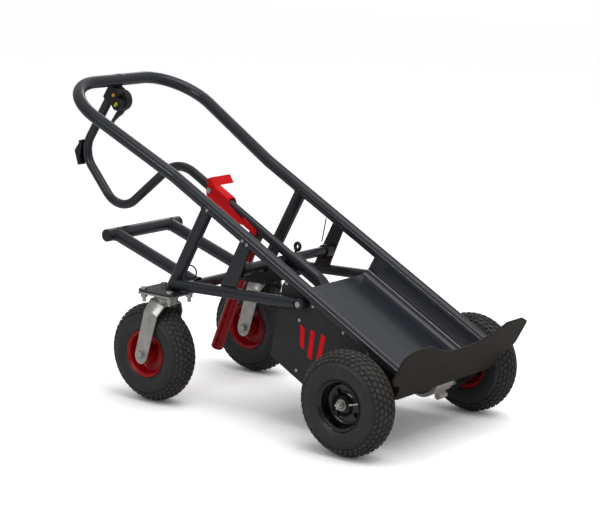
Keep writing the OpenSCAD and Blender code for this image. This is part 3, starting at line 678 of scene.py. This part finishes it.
FORK_SLANT = math.radians(16)
FORK_X, FORK_THICK, BELOW_AXLE = 48.5, 5, 25     # the sheet's middle is FORK_X from the wheel's
LEG_HALF, CROWN_HALF = 21, 25                    # half widths of the fork's legs and of its crown
UP = basis(Vector((0, 0, 0)), Vector((0, 0, 1)), X, Vector((0, 1, 0)))   # local x upright
SPACER = [(40.9, 6.2), (40.9, 11), (45.8, 11), (45.8, 6.2)]
WASHER = [(51.15, 6.2), (51.15, 11.6), (51.6, 12.2), (52.8, 12.2), (53.2, 11.6), (53.2, 6.2)]
BALLS, BALL_CIRCLE, BALL_Z = 22, 30.4, 286.9
BALL = [(-1.6, 0.01), (-1.13, 1.13), (0, 1.6), (1.13, 1.13), (1.6, 0.01)]

for side, word in SIDES:
    body = word + "_caster"
    wheel = body + "_wheel"
    at = wheel_frame(word + "_caster_wheel_spin", side)
    inward = at @ Matrix.Scale(-1, 4, (1, 0, 0))
    tyre(word + "_caster_tyre_treaded", wheel, at, [word + "_caster_tyre"])
    # the caster rims in the darker red copy: painted shade
    rim(word + "_caster_rim_near", wheel, "shaded_red", at, CASTER_BORE, 40.4,
        [word + "_caster_rim"])
    rim(word + "_caster_rim_far", wheel, "shaded_red", inward, CASTER_BORE, 40.4, [])
    valve(word + "_caster_valve", wheel, inward, math.radians(150))

    # the fork is one bent strip: up one leg, over the crown and down the other leg
    fork_at = basis(at.translation, X, Vector((0, math.cos(FORK_SLANT), math.sin(FORK_SLANT))),
                    Vector((0, -math.sin(FORK_SLANT), math.cos(FORK_SLANT))))
    knots = [Vector((x, 0, z)) for x, z in (
        (-FORK_X, -BELOW_AXLE), (-FORK_X, 119), (-31, 147.8),
        (31, 147.8), (FORK_X, 119), (FORK_X, -BELOW_AXLE))]
    bends = fillet([k * MM for k in knots], [0.006] * 4, 10)[1:-1]
    tips = [-25.0, -24.4, -22.8, -20.0, -16.0, -11.0, -5.0, 2, 12]
    path = [Vector((-FORK_X, 0, t)) * MM for t in tips] + bends
    path += [Vector((FORK_X, 0, t)) * MM for t in reversed(tips)]
    fork = Piece(word + "_caster_fork_bent", body, "zinc_plate", replaces=[word + "_caster_fork"])
    loops = []
    for i, p in enumerate(path):
        ahead = (path[min(i + 1, len(path) - 1)] - path[max(i - 1, 0)]).normalized()
        normal = Vector((-ahead.z, 0, ahead.x))
        height = p.z / MM
        if height < 0:  # the rounded end
            drop = min(1.0, -height / (BELOW_AXLE + 0.5))
            width = LEG_HALF * math.sqrt(max(0.02, 1 - drop ** 2))
        else:
            flare = min(1.0, max(0.0, (height - 104) / 34))
            width = LEG_HALF + (CROWN_HALF - LEG_HALF) * flare
        loop = []
        for across, through in ((-1, -0.36), (-1, 0.36), (-0.965, 0.5), (0.965, 0.5),
                                (1, 0.36), (1, -0.36), (0.965, -0.5), (-0.965, -0.5)):
            loop.append(fork_at @ (p + Vector((0, across * width * MM, 0))
                                   + normal * through * FORK_THICK * MM))
        loops.append(loop)
    fork.skin(loops)
    swivel = Vector(joints[word + "_caster_swivel"]["pos_m"])
    stem = Matrix.Translation((swivel.x, swivel.y, 0)) @ UP
    fork.lathe([(266.8, 8.06), (266.8, 24), (268.5, 27.5), (272, 29), (280.5, 30.6),
                (283.6, 33.6), (284.9, 33.2), (284.9, 8.06)], stem, 72)
    fork.done(angle=40)

    race = Piece(word + "_caster_race", "chassis", "zinc_plate")
    race.lathe([(289.4, 8), (289.4, 31.0), (286.6, 33.8), (286.0, 33.0), (288.2, 29.6),
                (291.2, 27.5), (291.2, 8)], stem, 72)
    for k in range(BALLS):
        a = math.tau * k / BALLS
        centre = (swivel.x + BALL_CIRCLE * MM * math.cos(a),
                  swivel.y + BALL_CIRCLE * MM * math.sin(a), BALL_Z * MM)
        race.lathe(BALL, Matrix.Translation(centre) @ UP, 10)
    race.done(angle=40)

    pin = Piece(word + "_caster_axle_bolt", body, "zinc_plate", replaces=[word + "_caster_axle"])
    pin.lathe([(-55, 0.01), (-55, 5.98), (58.4, 5.98), (59, 5.2), (59, 0.01)], at, 32)
    for steps, collar in ((36, SPACER), (40, WASHER)):
        pin.lathe(collar, at, steps)
        pin.lathe([(-x, r) for x, r in reversed(collar)], at, steps)
    pin.hexagon(18, 53.3, 58.6 if side < 0 else 59.5, at)
    pin.hexagon(18, -59.5, -53.3, at)
    pin.done(angle=30)

# ---- CAD solids kept in shape, with finished edges ---------------------------

SOFTENED = {
    "frame_paint": ["cross_tube", "right_support_tube", "left_support_tube", "rear_legs",
                    "rear_cross_member", "rear_crossbar", "frame_tubes", "caster_mounts",
                    "axle_housing", "axle_brackets", "strut_bars"],
    "tray_paint": ["load_tray"],
    "toe_paint": ["toe_plate", "toe_gussets"],
    "panel_paint": ["right_side_panel", "left_side_panel"],
    "black_paint": ["tube_clamps", "drive_motor", "accessory_bracket"],
    "red_paint": ["latch_lever", "panel_graphics"],
    "zinc_plate": ["panel_screws", "frame_bolts", "caster_bolts", "right_caster_plate",
                   "left_caster_plate"],
    "cast_alloy": ["gearbox"],
    "black_plastic": ["frame_end_caps", "latch_block", "battery_box", "brake_lever",
                      "motor_controller", "control_housing", "lashing_rings", "release_cable"],
    "battery_case": ["battery_pack"],
    "orange_plastic": ["power_button"],
    "yellow_plastic": ["speed_rocker"],
}
WIDE_BEVEL = {"toe_plate": 1.4}
for slot_name, nodes in SOFTENED.items():
    for node_name in nodes:
        soften(node_name, slot_name, bevel=WIDE_BEVEL.get(node_name, FINE_BEVEL))

# the foot bar in the darker red copy: painted shade
soften("foot_bar", "red_paint", material="shaded_red")

# the CAD solids' own materials, for those that no piece replaces
for part in frame["record"]["subparts"]:
    solid = frame["nodes"][part["node"]]
    solid.data.materials.clear()
    solid.data.materials.append(MATERIALS[part["material_slot"]])

# ---- floor and light ---------------------------------------------------------

FLOOR_HALF = 12                                  # metres
FLOOR_GREY = 0.8                                 # what the truck is lit by
FLOOR_GAIN = 2.2                                 # what the camera sees: exposed brighter
SKY_SHADES = (("From Min", -0.45), ("From Max", 0.75), ("To Min", 0.10), ("To Max", 0.52))

floor_mesh = bpy.data.meshes.new("floor")
floor_mesh.from_pydata([(x * FLOOR_HALF, y * FLOOR_HALF, 0)
                        for x, y in ((-1, -1), (1, -1), (1, 1), (-1, 1))], [], [(0, 1, 2, 3)])
floor = bpy.data.objects.new("floor", floor_mesh)
scene.collection.objects.link(floor)
pale = bpy.data.materials.new("pale_floor")
pale.use_nodes = True
pale.node_tree.nodes.remove(pale.node_tree.nodes["Principled BSDF"])
matt = pale.node_tree.nodes.new("ShaderNodeBsdfDiffuse")
pale.node_tree.links.new(matt.outputs[0], pale.node_tree.nodes["Material Output"].inputs["Surface"])
to_camera = pale.node_tree.nodes.new("ShaderNodeLightPath").outputs["Is Camera Ray"]
paper = pale.node_tree.nodes.new("ShaderNodeMix")
paper.data_type = "RGBA"
paper.inputs[COLOUR_A].default_value = (FLOOR_GREY, FLOOR_GREY, FLOOR_GREY, 1)
paper.inputs[COLOUR_B].default_value = (FLOOR_GAIN, FLOOR_GAIN, FLOOR_GAIN, 1)
pale.node_tree.links.new(to_camera, paper.inputs["Factor"])
pale.node_tree.links.new(paper.outputs[MIXED_COLOUR], matt.inputs["Color"])
floor_mesh.materials.append(pale)

# The surroundings are brightest above and to one side, and plain white to the camera.
world = bpy.data.worlds.new("studio")
scene.world = world
world.use_nodes = True
sky = world.node_tree
backdrop = sky.nodes["Background"]
backdrop.inputs["Color"].default_value = (1, 1, 1, 1)
direction = sky.nodes.new("ShaderNodeTexCoord").outputs["Generated"]
facing = sky.nodes.new("ShaderNodeVectorMath")
facing.operation = "DOT_PRODUCT"
facing.inputs[1].default_value = Vector((0.45, 0.0, 0.89)).normalized()
sky.links.new(direction, facing.inputs[0])
shade = sky.nodes.new("ShaderNodeMapRange")
for key, number in SKY_SHADES:
    shade.inputs[key].default_value = number
sky.links.new(facing.outputs["Value"], shade.inputs["Value"])
seen = sky.nodes.new("ShaderNodeLightPath").outputs["Is Camera Ray"]
white = sky.nodes.new("ShaderNodeMix")
white.inputs["B"].default_value = 1.0
sky.links.new(seen, white.inputs["Factor"])
sky.links.new(shade.outputs["Result"], white.inputs["A"])
sky.links.new(white.outputs["Result"], backdrop.inputs["Strength"])

# Lights with this receiver collection leave the floor out.
beside = bpy.data.collections.new("lit_only_from_above")
beside.objects.link(floor)
beside.collection_objects[0].light_linking.link_state = "EXCLUDE"


def area_light(name, size, power):
    light = bpy.data.lights.new(name, "AREA")
    light.shape, light.size, light.size_y, light.energy = "RECTANGLE", size[0], size[1], power
    lamp = bpy.data.objects.new(name, light)
    scene.collection.objects.link(lamp)
    return lamp


def softbox(name, at, target, size, power):
    lamp = area_light(name, size, power)
    lamp.location = at
    lamp.rotation_mode = "QUATERNION"
    lamp.rotation_quaternion = (Vector(target) - Vector(at)).to_track_quat("-Z", "Y")
    return lamp


# positions and sizes in metres, powers in watts
softbox("overhead", (0.0, -1.1, 3.3), (0, 0, 0.2), (2.6, 2.6), 34)
far_side = softbox("far_side", (2.6, 1.8, 2.0), (0, 0, 0.4), (1.2, 1.2), 8)
far_side.light_linking.receiver_collection = beside

# a strip along the right rail, for the long highlight on the tubes
STRIP_AWAY = 3.0                                 # metres
towards = Vector((-0.883, 0.182, 0.432)).normalized()
length = (along - towards * along.dot(towards)).normalized()
strip = area_light("strip", (0.22, 1.3), 14)
strip.matrix_world = basis(rails(-RAIL_X, 230, 0) + towards * STRIP_AWAY,
                           length.cross(towards), length, towards)
strip.light_linking.receiver_collection = beside
scene.view_settings.view_transform = "Standard"
